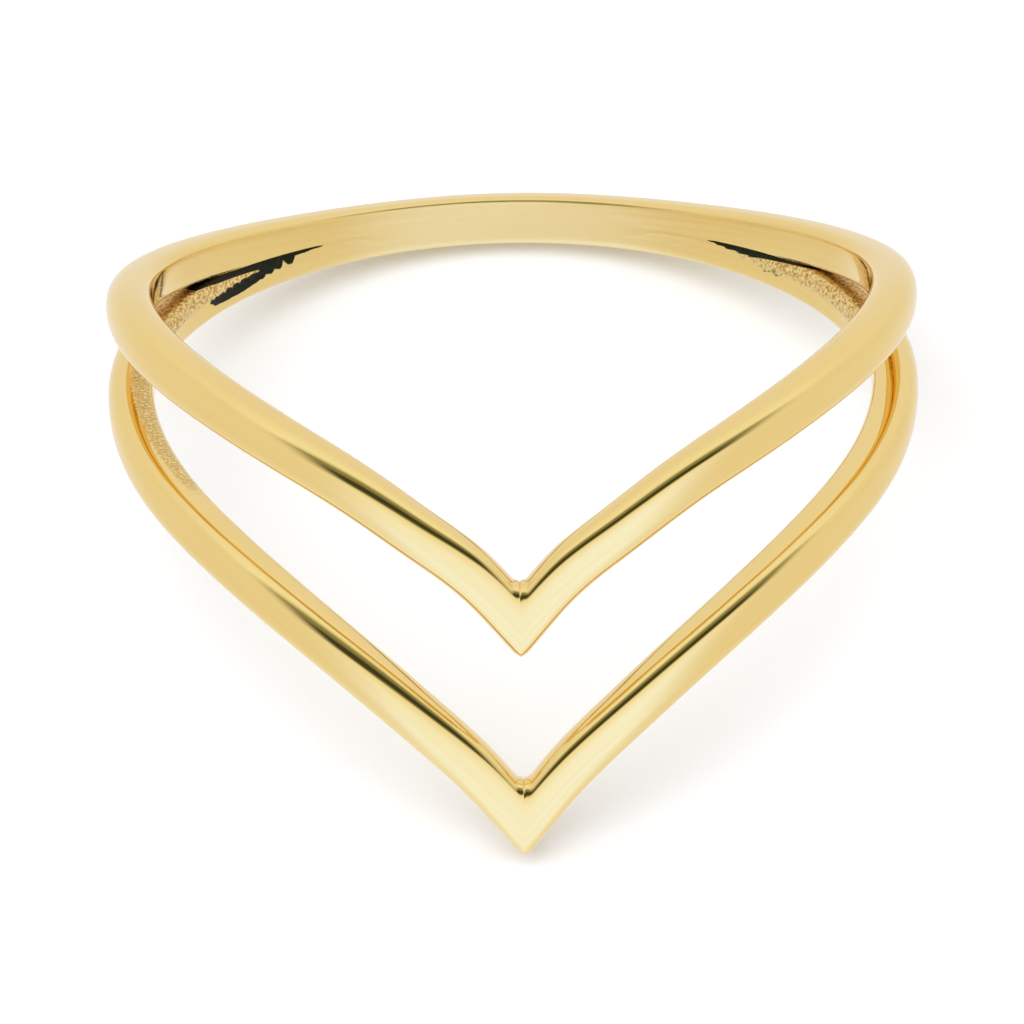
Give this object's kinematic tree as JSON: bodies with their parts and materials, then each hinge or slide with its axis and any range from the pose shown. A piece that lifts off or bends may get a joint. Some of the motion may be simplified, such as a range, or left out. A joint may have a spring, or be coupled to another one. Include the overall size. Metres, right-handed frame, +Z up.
{
  "type": "chevron ring",
  "caption": "Yellow-gold chevron ring whose narrow back band forks at each side into an upper and a lower round wire, each drawn to a sharp V at the front of the finger.",
  "frame": {"origin": "middle of the ring's footprint on the table it rests on", "axes": "+Z up, -Y towards the points of the Vs, X across the finger; the finger axis leans 30.6 degrees from +Z towards +Y"},
  "size_m": [0.0196, 0.0226, 0.0081],
  "materials": {
    "gold": "high polish, with rough as-cast patches inside the forks"
  },
  "bodies": {
    "root": {"chevron_ring": "gold"}
  },
  "joints": []
}
